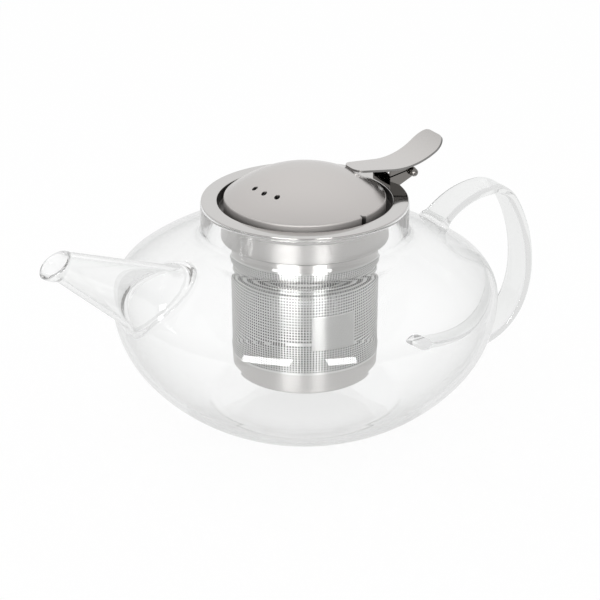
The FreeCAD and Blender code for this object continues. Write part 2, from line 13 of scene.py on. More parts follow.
import bmesh
import bpy
import numpy as np
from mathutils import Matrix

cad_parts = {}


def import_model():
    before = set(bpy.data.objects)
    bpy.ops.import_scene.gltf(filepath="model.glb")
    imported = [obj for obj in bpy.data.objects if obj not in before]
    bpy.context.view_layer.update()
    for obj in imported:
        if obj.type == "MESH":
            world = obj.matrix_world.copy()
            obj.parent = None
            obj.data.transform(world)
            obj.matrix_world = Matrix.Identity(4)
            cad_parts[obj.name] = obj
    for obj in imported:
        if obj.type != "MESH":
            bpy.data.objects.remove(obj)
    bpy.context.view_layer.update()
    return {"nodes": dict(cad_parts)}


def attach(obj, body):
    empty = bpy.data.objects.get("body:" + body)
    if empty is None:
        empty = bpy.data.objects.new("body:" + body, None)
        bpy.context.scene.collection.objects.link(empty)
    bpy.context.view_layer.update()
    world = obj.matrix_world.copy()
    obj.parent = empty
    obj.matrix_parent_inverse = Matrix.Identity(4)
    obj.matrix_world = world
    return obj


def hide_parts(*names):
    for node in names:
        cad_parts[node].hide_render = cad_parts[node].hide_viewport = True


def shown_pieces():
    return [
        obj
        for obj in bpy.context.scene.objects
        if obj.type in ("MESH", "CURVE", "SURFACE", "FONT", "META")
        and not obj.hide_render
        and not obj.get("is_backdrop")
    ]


LOG = logging.getLogger("teapot")
MM = 0.001


class Grain(Enum):
    """How the fine marks of a steel surface run."""

    SPUN = "spun"
    STRAIGHT = "straight"
    PLAIN = "plain"


class Carve(Enum):
    """Ways in which one solid changes another."""

    JOIN = "UNION"
    REMOVE = "DIFFERENCE"


def turned(start: np.ndarray, radius: float, first: float, last: float, count: int) -> np.ndarray:
    """Clockwise arc given by headings: p(h) = start + R (sin h0 - sin h, cos h - cos h0).

    Args:
        start: first point, as (r, z).
        radius: radius R of the arc.
        first: heading h0 at the start, in degrees.
        last: heading at the end, in degrees.
        count: number of points, both ends included.

    Returns:
        Points of the arc, shape (count, 2).
    """
    headings = np.radians(np.linspace(first, last, count))
    swing = np.stack([np.sin(headings[0]) - np.sin(headings), np.cos(headings) - np.cos(headings[0])], axis=1)
    return np.asarray(start) + radius * swing


def tangent_pair(start: np.ndarray, end: np.ndarray, first: float, turn: float,
                 last: float) -> tuple[float, float]:
    """Radii of two tangent clockwise arcs that join two points.

    Args:
        start: first point, as (r, z).
        end: last point.
        first: heading at the start, in degrees.
        turn: how far the first arc turns, in degrees.
        last: heading at the end, in degrees.

    Returns:
        The two radii, from the linear system R1 a + R2 b = end - start.
    """
    origin = np.zeros(2)
    one = turned(origin, 1.0, first, first - turn, 2)[-1]
    two = turned(origin, 1.0, first - turn, last, 2)[-1]
    radii = np.linalg.solve(np.stack([one, two], axis=1), np.asarray(end) - np.asarray(start))
    return float(radii[0]), float(radii[1])


def rounded(corners: np.ndarray, radii: tuple[float, ...], count: int = 6) -> np.ndarray:
    """Open polyline with its inner corners rounded by tangent arcs.

    Each corner is replaced by a quadratic Bezier between the two tangent points, which
    lie d = R / tan(half its angle) before and after it, at most 0.49 of the shorter side.

    Args:
        corners: points of the polyline, shape (n, 2).
        radii: radius at each corner, zero leaves it sharp.
        count: points in each rounding.

    Returns:
        Points of the rounded line.
    """
    corners = np.asarray(corners, float)
    pieces = [corners[:1]]
    steps = np.linspace(0.0, 1.0, count)[:, None]
    for before, corner, after, radius in zip(corners[:-2], corners[1:-1], corners[2:], radii[1:-1]):
        if radius <= 0.0:
            pieces.append(corner[None])
            continue
        inward, onward = before - corner, after - corner
        lengths = np.linalg.norm(inward), np.linalg.norm(onward)
        inward, onward = inward / lengths[0], onward / lengths[1]
        half = 0.5 * math.acos(float(np.clip(inward @ onward, -1.0, 1.0)))
        reach = min(radius / math.tan(half), 0.49 * min(lengths))
        enter, leave = corner + inward * reach, corner + onward * reach
        pieces.append((1 - steps) ** 2 * enter + 2 * steps * (1 - steps) * corner + steps**2 * leave)
    pieces.append(corners[-1:])
    return np.concatenate(pieces)


def square_off(line: np.ndarray) -> np.ndarray:
    """Unit normals (-dz, dx) / |(dx, dz)| of a line, to the left of its walk.

    Args:
        line: points, shape (n, 2).

    Returns:
        One normal per point.
    """
    ahead = np.gradient(line, axis=0)
    ahead /= np.linalg.norm(ahead, axis=1)[:, None]
    return np.stack([-ahead[:, 1], ahead[:, 0]], axis=1)


def ribbon(line: np.ndarray, across: np.ndarray, out: np.ndarray) -> np.ndarray:
    """Sections carried square to an (x, z) line: P(i, j) = (x_i + n_x out_ij, across_ij, z_i + n_z out_ij).

    Args:
        line: points of the line, with unit normals n.
        across: sideways place of each point of a section, one row per point of the line.
        out: its place along the normal.

    Returns:
        Points, shape (line points, section points, 3).
    """
    normal = square_off(line)
    x = line[:, 0, None] + normal[:, 0, None] * out
    z = line[:, 1, None] + normal[:, 1, None] * out
    return np.stack([x, across, z], axis=2)


def circle(count: int) -> np.ndarray:
    """Angles of a full turn in count even steps."""
    return np.linspace(0.0, 2 * math.pi, count, endpoint=False)


def about_axis(profile: np.ndarray, angles: np.ndarray) -> np.ndarray:
    """Points of an (r, z) profile carried round the Z axis: P(i, t) = (r_i cos t, r_i sin t, z_i)."""
    radius, height = profile[:, 0, None], profile[:, 1, None]
    return np.stack([radius * np.cos(angles), radius * np.sin(angles), height + 0 * angles], axis=2)


def grid_quads(rows: int, columns: int, wrap_rows: bool = False) -> np.ndarray:
    """Quads of a rows by columns grid of points, numbered row by row, its columns closed to a ring.

    Args:
        rows: number of rows.
        columns: number of columns.
        wrap_rows: whether the last row joins the first too.

    Returns:
        Point numbers, shape (quads, 4).
    """
    row = np.arange(rows if wrap_rows else rows - 1)[:, None]
    column = np.arange(columns)[None, :]
    above, beside = (row + 1) % rows, (column + 1) % columns
    corners = [row * columns + column, row * columns + beside,
               above * columns + beside, above * columns + column]
    return np.stack([corner.ravel() for corner in np.broadcast_arrays(*corners)], axis=1)


def make_piece(name: str, points: np.ndarray, faces: list[np.ndarray],
               sharp: float = 35.0) -> bpy.types.Object:
    """Smooth mesh object from points in millimetres, its normals turned outwards.

    Args:
        name: name of the piece.
        points: shape (n, 3).
        faces: arrays of point numbers, one array per face size.
        sharp: edges that turn more than this many degrees stay sharp.

    Returns:
        The linked object.
    """
    mesh = bpy.data.meshes.new(name)
    polygons = [face for group in faces for face in group.tolist()]
    mesh.from_pydata((np.asarray(points) * MM).tolist(), [], polygons)
    shell = bmesh.new()
    shell.from_mesh(mesh)
    bmesh.ops.recalc_face_normals(shell, faces=shell.faces)
    shell.to_mesh(mesh)
    shell.free()
    piece = bpy.data.objects.new(name, mesh)
    bpy.context.scene.collection.objects.link(piece)
    smooth(piece, sharp)
    return piece


def smooth(piece: bpy.types.Object, sharp: float) -> None:
    """Shade a mesh smooth, except at edges that turn more than sharp degrees."""
    piece.data.shade_smooth()
    piece.data.set_sharp_from_angle(angle=math.radians(sharp))


def turn_loop(name: str, profile: np.ndarray, segments: int) -> bpy.types.Object:
    """Ring from a closed (r, z) profile carried round the axis, its first point not repeated."""
    points = about_axis(profile, circle(segments)).reshape(-1, 3)
    return make_piece(name, points, [grid_quads(len(profile), segments, True)])


def capped_solid(name: str, rings: np.ndarray, poles: np.ndarray) -> bpy.types.Object:
    """Closed solid from rings of points, each end closed by a fan to its pole.

    Args:
        name: name of the piece.
        rings: shape (rows, columns, 3).
        poles: first and last pole, shape (2, 3).

    Returns:
        The solid.
    """
    rows, columns = rings.shape[:2]
    points = np.concatenate([rings.reshape(-1, 3), poles])
    around = np.arange(columns)
    beside = (around + 1) % columns
    last = (rows - 1) * columns
    first_fan = np.stack([np.full(columns, rows * columns), beside, around], axis=1)
    last_fan = np.stack([np.full(columns, rows * columns + 1), last + around, last + beside], axis=1)
    return make_piece(name, points, [grid_quads(rows, columns), first_fan, last_fan])


def turn_solid(name: str, profile: np.ndarray, segments: int) -> bpy.types.Object:
    """Solid of revolution whose (r, z) profile starts and ends on the axis."""
    poles = np.array([[0.0, 0.0, profile[0, 1]], [0.0, 0.0, profile[-1, 1]]])
    return capped_solid(name, about_axis(profile[1:-1], circle(segments)), poles)


def tube_solid(name: str, rings: np.ndarray) -> bpy.types.Object:
    """Closed solid from rings of points, each end closed to the middle of its ring."""
    return capped_solid(name, rings, np.stack([rings[0].mean(0), rings[-1].mean(0)]))


def prism(name: str, outline: np.ndarray, heights: tuple[float, float]) -> bpy.types.Object:
    """Upright solid over a closed (x, y) outline, from the bottom to the top height."""
    levels = [np.column_stack([outline, np.full(len(outline), height)]) for height in heights]
    return tube_solid(name, np.stack(levels))


def face_centres(mesh: bpy.types.Mesh) -> np.ndarray:
    """Middle of each face in millimetres.

    Args:
        mesh: the mesh.

    Returns:
        Points, shape (faces, 3).
    """
    centres = np.empty(3 * len(mesh.polygons))
    mesh.polygons.foreach_get("center", centres)
    return centres.reshape(-1, 3) / MM


def assign(mesh: bpy.types.Mesh, kinds: np.ndarray) -> None:
    """Give each face the number of its finish, or the truth value that stands for it."""
    mesh.polygons.foreach_set("material_index", np.asarray(kinds).astype(np.int32))


def carve(piece: bpy.types.Object, tool: bpy.types.Object, way: Carve) -> None:
    """Join a tool to a piece or take it out of it, then drop the tool.

    Args:
        piece: the object that changes.
        tool: the other closed solid.
        way: what the tool does.
    """
    change = piece.modifiers.new("carve", "BOOLEAN")
    change.object = tool
    change.operation = way.value
    change.solver = "EXACT"
    bpy.context.view_layer.update()
    depsgraph = bpy.context.evaluated_depsgraph_get()
    result = bpy.data.meshes.new_from_object(piece.evaluated_get(depsgraph))
    piece.modifiers.clear()
    spent = [piece.data, tool.data]
    piece.data = result
    bpy.data.objects.remove(tool)
    for mesh in spent:
        bpy.data.meshes.remove(mesh)


class NodeSheet:
    """Short way to place and join shader nodes in one tree."""

    def __init__(self, tree: bpy.types.NodeTree) -> None:
        """Start on a material's, world's or group's node tree."""
        self.tree = tree

    def feed(self, target: bpy.types.NodeSocket, value: object) -> None:
        """Link an output to an input, or give the input a plain value.

        Args:
            target: the input.
            value: an output socket or a plain value.
        """
        if isinstance(value, bpy.types.NodeSocket):
            self.tree.links.new(value, target)
        else:
            target.default_value = value

    def put(self, node: bpy.types.Node, **settings: object) -> bpy.types.Node:
        """Set up a node.

        Args:
            node: the node.
            **settings: attributes of the node, or what feeds its inputs, by their names.

        Returns:
            The same node.
        """
        for name, value in settings.items():
            if hasattr(node, name):
                setattr(node, name, value)
            else:
                self.feed(node.inputs[name.replace("_", " ")], value)
        return node

    def add(self, kind: str, **settings: object) -> bpy.types.Node:
        """Place and set up a node, by its type name without the ShaderNode prefix."""
        node = self.tree.nodes.new(kind if kind.startswith("NodeGroup") else "ShaderNode" + kind)
        return self.put(node, **settings)

    def math(self, operation: str, first: object, second: object = 0.0) -> bpy.types.NodeSocket:
        """Place a math node.

        Args:
            operation: the node's operation.
            first: a socket or a number.
            second: a socket or a number.

        Returns:
            The node's output.
        """
        node = self.add("Math", operation=operation)
        self.feed(node.inputs[0], first)
        self.feed(node.inputs[1], second)
        return node.outputs[0]

    def blend(self, share: bpy.types.NodeSocket, one: bpy.types.Node, other: bpy.types.Node) -> None:
        """Mix two shaders into the material's surface.

        Args:
            share: how much of the other shader shows.
            one: the first shader.
            other: the other shader.
        """
        mix = self.add("MixShader")
        for target, value in zip(mix.inputs, (share, one.outputs[0], other.outputs[0])):
            self.feed(target, value)
        self.put(self.tree.nodes["Material Output"], Surface=mix.outputs[0])


def new_material(name: str) -> tuple[bpy.types.Material, NodeSheet, bpy.types.Node]:
    """Material with its usual shader.

    Args:
        name: name of the material.

    Returns:
        The material, its sheet and its Principled BSDF.
    """
    material = bpy.data.materials.new(name)
    material.use_nodes = True
    return material, NodeSheet(material.node_tree), material.node_tree.nodes["Principled BSDF"]


def new_group(name: str, inputs: dict[str, float], outputs: dict[str, str]) -> bpy.types.ShaderNodeTree:
    """Empty shader node group with named sockets.

    Args:
        name: name of the group.
        inputs: float inputs and their usual values.
        outputs: output names and their socket types.

    Returns:
        The group.
    """
    group = bpy.data.node_groups.new(name, "ShaderNodeTree")
    for title, usual in inputs.items():
        socket = group.interface.new_socket(title, in_out="INPUT", socket_type="NodeSocketFloat")
        socket.default_value = usual
    for title, kind in outputs.items():
        group.interface.new_socket(title, in_out="OUTPUT", socket_type=kind)
    return group


class Effects:
    """Shader node groups that several finishes share."""

    def __init__(self) -> None:
        """Build each group once."""
        self.grain = self._grain()
        self.ripple = self._ripple()

    @staticmethod
    def _grain() -> bpy.types.ShaderNodeTree:
        """Fine steel grain: spun rings, straight strokes or an even cloud.

        Returns:
            Group with a roughness value and a bump normal.
        """
        group = new_group("steel_grain", {"Spun": 1.0, "Straight": 0.0, "Fineness": 2200.0, "Depth": 0.02},
                          {"Variation": "NodeSocketFloat", "Normal": "NodeSocketVector"})
        sheet = NodeSheet(group)
        given, result = sheet.add("NodeGroupInput").outputs, sheet.add("NodeGroupOutput")
        place = sheet.add("TexCoord").outputs["Object"]
        split = sheet.add("SeparateXYZ", Vector=place).outputs
        across = sheet.math("POWER", split["X"], 2.0)
        along = sheet.math("POWER", split["Y"], 2.0)
        radius = sheet.math("SQRT", sheet.math("ADD", across, along))
        spun = sheet.math("MULTIPLY", radius, given["Spun"])
        straight = sheet.math("MULTIPLY", split["Y"], given["Straight"])
        stroke = sheet.math("MULTIPLY", sheet.math("ADD", spun, straight), given["Fineness"])
        lift = sheet.math("MULTIPLY", split["Z"], 60.0)
        stretched = sheet.add("CombineXYZ", X=stroke, Y=lift).outputs[0]
        fine = sheet.add("TexNoise", Scale=1.0, Detail=3.0, Vector=stretched).outputs[0]
        cloud = sheet.add("TexNoise", Scale=90.0, Detail=4.0, Vector=place).outputs[0]
        mixed = sheet.math("ADD", sheet.math("MULTIPLY", fine, 0.6), sheet.math("MULTIPLY", cloud, 0.4))
        bump = sheet.add("Bump", Distance=0.0001, Strength=given["Depth"], Height=mixed)
        sheet.put(result, Variation=mixed, Normal=bump.outputs[0])
        return group

    @staticmethod
    def _ripple() -> bpy.types.ShaderNodeTree:
        """Slow waves of blown glass.

        Returns:
            Group with a bump normal.
        """
        group = new_group("glass_ripple", {"Scale": 28.0, "Depth": 0.05}, {"Normal": "NodeSocketVector"})
        sheet = NodeSheet(group)
        given, result = sheet.add("NodeGroupInput").outputs, sheet.add("NodeGroupOutput")
        place = sheet.add("TexCoord").outputs["Object"]
        wave = sheet.add("TexNoise", Detail=1.0, Roughness=0.3, Vector=place, Scale=given["Scale"])
        bump = sheet.add("Bump", Distance=0.002, Strength=given["Depth"], Height=wave.outputs[0])
        sheet.put(result, Normal=bump.outputs[0])
        return group


@dataclass(frozen=True)
class SteelFinish:
    """Stainless steel sheet."""

    name: str
    color: tuple[float, float, float]
    roughness: float
    grain: Grain
    depth: float = 0.02
    spread: float = 0.06
    drawn: float = 0.0

    def material(self, effects: Effects) -> bpy.types.Material:
        """Make the material.

        Args:
            effects: the shared node groups.

        Returns:
            The material.
        """
        material, sheet, metal = new_material(self.name)
        grain = sheet.add("Group", node_tree=effects.grain, Spun=float(self.grain is Grain.SPUN),
                          Straight=float(self.grain is Grain.STRAIGHT), Depth=self.depth).outputs
        swing = sheet.math("MULTIPLY", sheet.math("SUBTRACT", grain["Variation"], 0.5), self.spread)
        sheet.put(metal, Metallic=1.0, Base_Color=(*self.color, 1.0), Normal=grain["Normal"],
                  Roughness=sheet.math("ADD", swing, self.roughness))
        if self.drawn > 0.0:
            lay = sheet.add("Tangent", direction_type="RADIAL", axis="Z")
            sheet.put(metal, Anisotropic=self.drawn, Anisotropic_Rotation=0.25, Tangent=lay.outputs[0])
        return material


@dataclass(frozen=True)
class GlassFinish:
    """Clear glass that lets the light of the studio through to what stands behind it.

    Seen edge on it takes the edge tint, by Facing to the power of spread. A ray deeper
    than deepest, or mirrored more than most_turns times, goes straight on and
    keeps the share passed; shadow and diffuse rays go straight on unchanged.
    """

    name: str
    tint: tuple[float, float, float]
    edge_tint: tuple[float, float, float]
    ior: float = 1.47
    ripple_scale: float = 26.0
    ripple_depth: float = 0.015
    spread: float = 2.0
    tinted_depth: float = 2.5
    deepest: float = 3.5
    most_turns: float = 1.5
    passed: float = 0.95

    def material(self, effects: Effects) -> bpy.types.Material:
        """Make the material.

        Args:
            effects: the shared node groups.

        Returns:
            The material.
        """
        material, sheet, glass = new_material(self.name)
        facing = sheet.add("LayerWeight", Blend=0.5).outputs["Facing"]
        path = sheet.add("LightPath").outputs
        edge = sheet.math("MULTIPLY", sheet.math("POWER", facing, self.spread),
                          sheet.math("LESS_THAN", path["Ray Depth"], self.tinted_depth))
        # A colour mix has its two colours at inputs 6 and 7 and its result at output 2.
        tint = sheet.add("Mix", data_type="RGBA", Factor=edge)
        sheet.feed(tint.inputs[6], (*self.tint, 1.0))
        sheet.feed(tint.inputs[7], (*self.edge_tint, 1.0))
        ripple = sheet.add("Group", node_tree=effects.ripple, Scale=self.ripple_scale,
                           Depth=self.ripple_depth)
        sheet.put(glass, Base_Color=tint.outputs[2], Roughness=0.0, IOR=self.ior,
                  Transmission_Weight=1.0, Normal=ripple.outputs["Normal"])
        passing = sheet.math("MAXIMUM", path["Is Shadow Ray"], path["Is Diffuse Ray"])
        trapped = sheet.math("MAXIMUM", sheet.math("GREATER_THAN", path["Ray Depth"], self.deepest),
                             sheet.math("GREATER_THAN", path["Glossy Depth"], self.most_turns))
        held = sheet.math("MULTIPLY", trapped, sheet.math("SUBTRACT", 1.0, passing))
        loss = sheet.math("MULTIPLY", held, 1.0 - self.passed)
        clear = sheet.add("BsdfTransparent", Color=sheet.math("SUBTRACT", 1.0, loss))
        sheet.blend(sheet.math("MAXIMUM", passing, trapped), glass, clear)
        return material


@dataclass
class GlassPot:
    """Bowl, spout and handle, fused into one piece of glass."""

    bowl_radius: float = 76.0
    equator_height: float = 49.0
    base_radius: float = 38.0
    base_slope: float = 23.0
    belly_turn: float = 38.0
    shoulder_height: float = 72.1
    shoulder_slope: float = 14.5
    shoulder_turn: float = 21.0
    wall: float = 2.2
    floor: float = 3.0
    neck_radius: float = 40.5
    neck_fillet: float = 5.0
    rim_height: float = 87.2
    rim_round: float = 0.9
    spout_root: tuple[float, float] = (-68.2, 61.2)
    spout_rise: float = 31.4
    spout_length: float = 42.5
    spout_root_radius: float = 13.8
    spout_tip_radius: float = 5.9
    spout_wall: float = 1.6
    spout_flare: float = 0.9
    spout_lip: float = 4.0
    spout_slant: float = 21.5
    weld_swell: float = 2.0
    weld_reach: float = 2.2
    weld_band: float = 1.5
    weld_foot: float = 0.15
    weld_margin: tuple[float, float] = (0.6, 7.0)
    weld_search: tuple[float, float] = (-16.0, 20.0)
    weld_halvings: int = 40
    bore_swell: float = 0.6
    spout_columns: int = 144
    spout_inside: float = -14.0
    bore_inside: float = -12.0
    bore_past: float = 3.0
    base_hollow: tuple[float, float, float] = (0.66, 0.6, 0.9)
    base_step: float = 0.25
    floor_ease: tuple[float, float] = (1.6, 6.0)
    floor_lift: float = 0.1
    floor_start: float = 0.8
    mouth_clear: float = 4.0
    strap_width: float = 14.6
    strap_thickness: float = 3.6
    strap_rise: tuple[float, float] = (32.6, 43.3)
    strap_crest: tuple[float, float] = (85.1, 76.6)
    strap_crest_turn: float = 58.5
    strap_waist: tuple[float, float] = (105.3, 38.0)
    strap_waist_turn: float = 19.0
    strap_low: tuple[float, float] = (78.5, 7.6)
    strap_curl: tuple[float, float] = (61.5, 23.0)
    strap_root: float = 7.0
    strap_weld_swell: tuple[float, float] = (0.45, 0.6)
    strap_weld_reach: tuple[float, float] = (1.6, 2.2)
    strap_side_swell: float = 0.35
    strap_powers: tuple[float, float] = (5.0, 4.0)
    strap_columns: int = 56
    segments: int = 224
    sharp: float = 40.0
    piece: bpy.types.Object | None = field(default=None, init=False)

    def outer_profile(self) -> np.ndarray:
        """Meridian of the outer face, from the foot of the neck to the edge of the base.

        Returns:
            (r, z) points along a fillet and four tangent arcs.
        """
        slope = self.shoulder_slope
        lean = math.radians(slope)
        foot_radius = self.neck_radius + self.neck_fillet * (1 - math.sin(lean))
        shoulder = np.array([foot_radius, self.shoulder_height])
        equator = np.array([self.bowl_radius, self.equator_height])
        base = np.array([self.base_radius, 0.0])
        upper = tangent_pair(shoulder, equator, -slope, self.shoulder_turn, -90.0)
        lower = tangent_pair(equator, base, -90.0, self.belly_turn, -180.0 + self.base_slope)
        foot = np.array([self.neck_radius, self.shoulder_height + self.neck_fillet * math.cos(lean)])
        fillet = turned(foot, -self.neck_fillet, -90.0, -slope, 12)
        crown = turned(shoulder, upper[0], -slope, -slope - self.shoulder_turn, 22)
        edge = turned(crown[-1], upper[1], -slope - self.shoulder_turn, -90.0, 16)
        belly = turned(equator, lower[0], -90.0, -90.0 - self.belly_turn, 24)
        under = turned(belly[-1], lower[1], -90.0 - self.belly_turn, -180.0 + self.base_slope, 20)
        return np.concatenate([fillet, crown[1:], edge[1:], belly[1:], under[1:]])

    @staticmethod
    def inset(profile: np.ndarray, depth: float) -> np.ndarray:
        """Profile moved squarely inwards: q = p - depth n, with n the normal of its walk to the base."""
        return profile - depth * square_off(profile)

    def spout_frame(self, angles: np.ndarray) -> tuple[np.ndarray, np.ndarray, np.ndarray]:
        """Root point and axis of the spout, and the directions cos t up + sin t side square to it.

        Args:
            angles: angles t round the spout's axis.

        Returns:
            Root, axis and one direction per angle.
        """
        rise = math.radians(self.spout_rise)
        root = np.array([self.spout_root[0], 0.0, self.spout_root[1]])
        axis = np.array([-math.cos(rise), 0.0, math.sin(rise)])
        upward = np.array([math.sin(rise), 0.0, math.cos(rise)])
        side = np.array([0.0, 1.0, 0.0])
        return root, axis, np.cos(angles)[:, None] * upward + np.sin(angles)[:, None] * side

    def cone(self, along: np.ndarray, inward: float) -> np.ndarray:
        """Radius of the spout at places along its axis.

        Args:
            along: distances from the root.
            inward: how far inside the outer face.

        Returns:
            Radii of the straight taper and of its lip, flare u^2 (3 - 2 u) along the lip.
        """
        straight = self.spout_length - self.spout_lip
        taper = self.spout_root_radius + (self.spout_tip_radius - self.spout_root_radius) * along / straight
        lip = np.clip((along - straight) / self.spout_lip, 0.0, 1.0)
        return np.maximum(taper, self.spout_tip_radius) + self.spout_flare * lip**2 * (3 - 2 * lip) - inward

    def weld_line(self, angles: np.ndarray) -> np.ndarray:
        """Where each side line of the spout meets the bowl, found by halving.

        Args:
            angles: angles round the spout's axis.

        Returns:
            Distances along the axis.
        """
        profile = self.outer_profile()[::-1]
        root, axis, around = self.spout_frame(angles)
        low, high = (np.full(len(angles), limit) for limit in self.weld_search)
        for _ in range(self.weld_halvings):
            middle = (low + high) / 2
            radius = self.cone(middle, 0.0)
            place = root + middle[:, None] * axis + radius[:, None] * around
            limit = np.interp(place[:, 2], profile[:, 1], profile[:, 0])
            within = np.hypot(place[:, 0], place[:, 1]) < limit
            low, high = np.where(within, middle, low), np.where(within, high, middle)
        return (low + high) / 2

    def spout_rings(self, inward: float, from_root: float, past: float) -> np.ndarray:
        """Rings of the spout's outer face, or of its bore.

        A point is root + s axis + r(s, t) (cos t up + sin t side); the radius swells by
        w exp(-(s - weld(t)) / reach) towards the bowl, less in the bore, and the last rings
        round the rim.

        Args:
            inward: zero for the outer face, the wall for the bore.
            from_root: where the rings begin on the axis.
            past: how far the bore runs on past the tip.

        Returns:
            Points, shape (rings, columns, 3).
        """
        angles = circle(self.spout_columns)
        root, axis, around = self.spout_frame(angles)
        slant = math.tan(math.radians(self.spout_slant))
        tip = self.spout_length - slant * (self.spout_tip_radius + self.spout_flare) * np.cos(angles)
        weld = self.weld_line(angles)
        round_off = self.spout_wall / 2
        near, far = weld - self.weld_margin[0], weld + self.weld_margin[1]
        along = np.concatenate([from_root + (near - from_root) * np.linspace(0.0, 1.0, 8)[:, None],
                                near + (far - near) * np.linspace(0.0, 1.0, 34)[1:, None] ** 1.25,
                                far + (tip - round_off - far) * np.linspace(0.0, 1.0, 44)[1:, None]])
        radius = self.cone(along, inward)
        sign = 1.0 if inward == 0.0 else -1.0
        swell = self.weld_swell if inward == 0.0 else self.weld_swell * self.bore_swell
        radius = radius + swell * np.exp(-np.clip(along - weld, 0.0, None) / self.weld_reach)
        bend = np.linspace(0.0, math.pi / 2, 9)[1:, None]
        rim_along = tip - round_off + round_off * np.sin(bend)
        rim_radius = radius[-1] - sign * round_off * (1 - np.cos(bend))
        along, radius = np.concatenate([along, rim_along]), np.concatenate([radius, rim_radius])
        if past > 0.0:
            along = np.concatenate([along, along[-1:] + past])
            radius = np.concatenate([radius, radius[-1:]])
        return root + along[..., None] * axis + radius[..., None] * around

    def strap_line(self) -> np.ndarray:
        """Centre line of the handle as tangent arcs, run on into the bowl's wall.

        Returns:
            (x, z) points.
        """
        crest, waist, low = np.array([self.strap_crest, self.strap_waist, self.strap_low])
        over_turn, under_turn = -self.strap_crest_turn, -90.0 - self.strap_waist_turn
        over = tangent_pair(crest, waist, 0.0, self.strap_crest_turn, -90.0)
        under = tangent_pair(waist, low, -90.0, self.strap_waist_turn, -180.0)
        rise = turned(np.zeros(2), self.strap_rise[0], self.strap_rise[1], 0.0, 24)
        rise = rise - rise[-1] + crest
        legs = [rise, turned(crest, over[0], 0.0, over_turn, 30)]
        legs.append(turned(legs[-1][-1], over[1], over_turn, -90.0, 24))
        legs.append(turned(waist, under[0], -90.0, under_turn, 16))
        legs.append(turned(legs[-1][-1], under[1], under_turn, -180.0, 30))
        legs.append(turned(low, self.strap_curl[0], -180.0, -180.0 - self.strap_curl[1], 20))
        line = np.concatenate([legs[0]] + [leg[1:] for leg in legs[1:]])
        first, last = line[0] - line[1], line[-1] - line[-2]
        root = np.linspace(self.strap_root, 0.0, 8)[:-1, None]
        begin = line[0] + root * first / np.linalg.norm(first)
        end = line[-1] + root[::-1] * last / np.linalg.norm(last)
        return np.concatenate([begin, line, end])

    def strap_rings(self) -> np.ndarray:
        """Rings of the strap: a rounded flat section carried square to its centre line.

        The section is a superellipse |y / a|^p + |n / b|^q = 1 that swells near both welds.

        Returns:
            Points, shape (rings, columns, 3).
        """
        line = self.strap_line()
        length = np.concatenate([[0.0], np.cumsum(np.linalg.norm(np.diff(line, axis=0), axis=1))])
        profile = self.outer_profile()[::-1]
        free = length[line[:, 0] > np.interp(line[:, 1], profile[:, 1], profile[:, 0])]
        start, finish = np.clip(length - free[0], 0.0, None), np.clip(free[-1] - length, 0.0, None)
        swell = (self.strap_weld_swell[0] * np.exp(-start / self.strap_weld_reach[0])
                 + self.strap_weld_swell[1] * np.exp(-finish / self.strap_weld_reach[1]))
        angles = circle(self.strap_columns)
        cosine, sine = np.cos(angles), np.sin(angles)
        wide = np.sign(cosine) * np.abs(cosine) ** (2 / self.strap_powers[0])
        thick = np.sign(sine) * np.abs(sine) ** (2 / self.strap_powers[1])
        across = self.strap_width / 2 * wide[None, :] * (1 + self.strap_side_swell * swell[:, None])
        out = self.strap_thickness / 2 * thick[None, :] * (1 + swell[:, None])
        return ribbon(line, across, out)

    def build(self) -> None:
        """Join the outer forms, then take out the inside of the bowl and the spout's bore."""
        outer = self.outer_profile()
        turn = np.linspace(0.0, math.pi / 2, 8)
        rim, ease = self.rim_height, self.rim_round
        lift = rim - ease + ease * np.cos(turn)
        top = np.stack([self.neck_radius - ease + ease * np.sin(turn), lift], axis=1)
        outside, within, depth = self.base_hollow
        base = np.array([[self.base_radius * outside, 0.0], [self.base_radius * within, self.base_step],
                         [0.0, depth]])
        shape = np.concatenate([[[0.0, rim]], top, outer, base])
        self.piece = turn_solid("glass_pot", shape, self.segments)
        inner = self.inset(outer, self.wall)
        inner = inner[inner[:, 1] > self.floor + self.floor_start]
        mouth = self.neck_radius - self.wall
        flare = np.stack([mouth + ease - ease * np.sin(turn), lift], axis=1)
        corner = inner[-1, 0]
        floor = np.array([[corner - self.floor_ease[0], self.floor + self.floor_lift],
                          [corner - self.floor_ease[1], self.floor], [0.0, self.floor]])
        above = np.array([[0.0, rim + self.mouth_clear], [mouth + ease, rim + self.mouth_clear]])
        hollow = turn_solid("hollow", np.concatenate([above, flare, inner, floor]), self.segments)
        spout = self.spout_rings(0.0, self.spout_inside, 0.0)
        bore = self.spout_rings(self.spout_wall, self.bore_inside, self.bore_past)
        carve(self.piece, tube_solid("spout_form", spout), Carve.JOIN)
        carve(self.piece, tube_solid("strap_form", self.strap_rings()), Carve.JOIN)
        carve(self.piece, hollow, Carve.REMOVE)
        carve(self.piece, tube_solid("bore_form", bore), Carve.REMOVE)
        smooth(self.piece, self.sharp)

